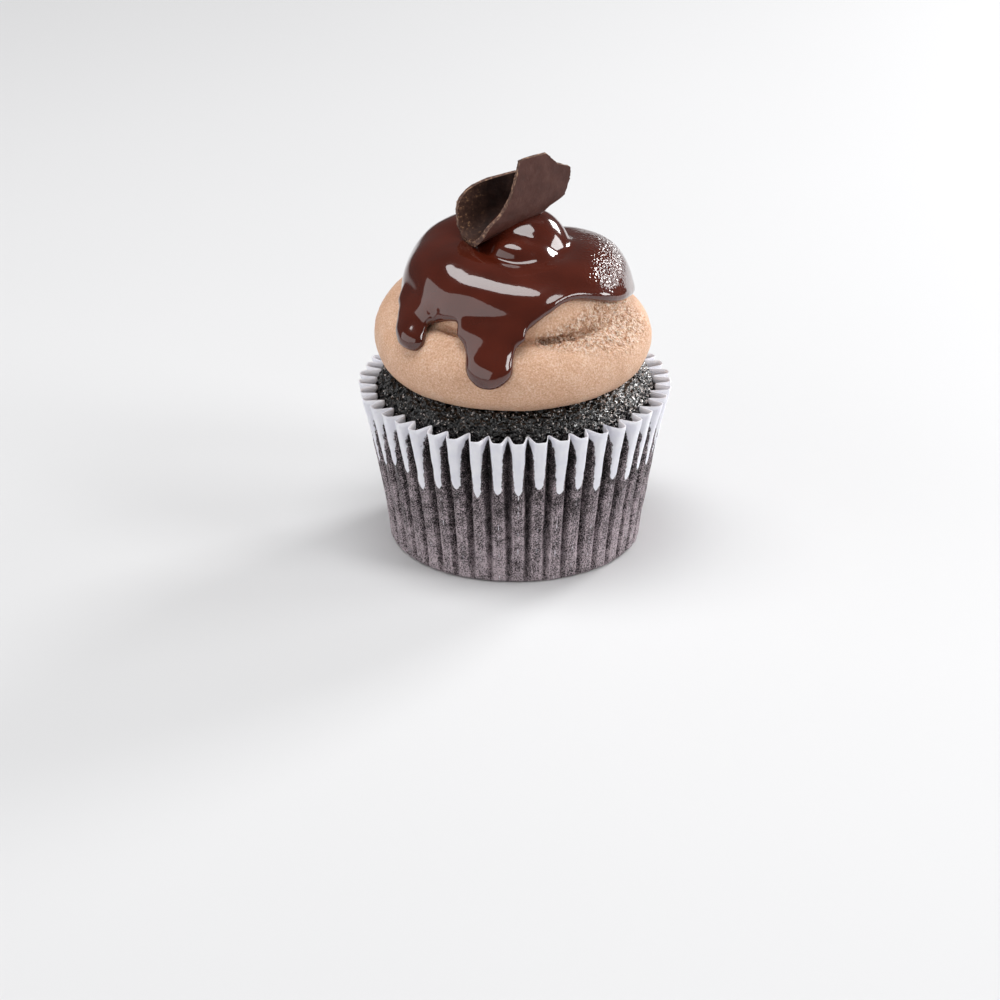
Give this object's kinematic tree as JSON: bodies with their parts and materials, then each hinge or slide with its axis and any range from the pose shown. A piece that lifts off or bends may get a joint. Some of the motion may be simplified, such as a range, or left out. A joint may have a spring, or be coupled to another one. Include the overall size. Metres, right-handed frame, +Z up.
{
  "type": "cupcake",
  "caption": "Chocolate cupcake in a pleated paper case, with a piped buttercream swirl, dripping chocolate glaze and a curl of dark chocolate.",
  "frame": {"origin": "centre of the paper case's flat base, on the surface that it stands on", "axes": "+Z up; -Y is the front, the side of the longest drip; +X is to the right seen from the front"},
  "size_m": [0.064, 0.064, 0.0832],
  "materials": {
    "paper": "pleated greaseproof paper, soaked dark by the cake below the rim",
    "sponge": "moist dark chocolate crumb",
    "buttercream": "smooth matt chocolate buttercream",
    "glaze": "wet, glossy chocolate glaze",
    "chocolate": "dull dark chocolate with broken edges"
  },
  "bodies": {
    "root": {"paper_case": "paper", "sponge": "sponge", "buttercream": "buttercream", "glaze": "glaze", "chocolate_curl": "chocolate"}
  },
  "joints": []
}
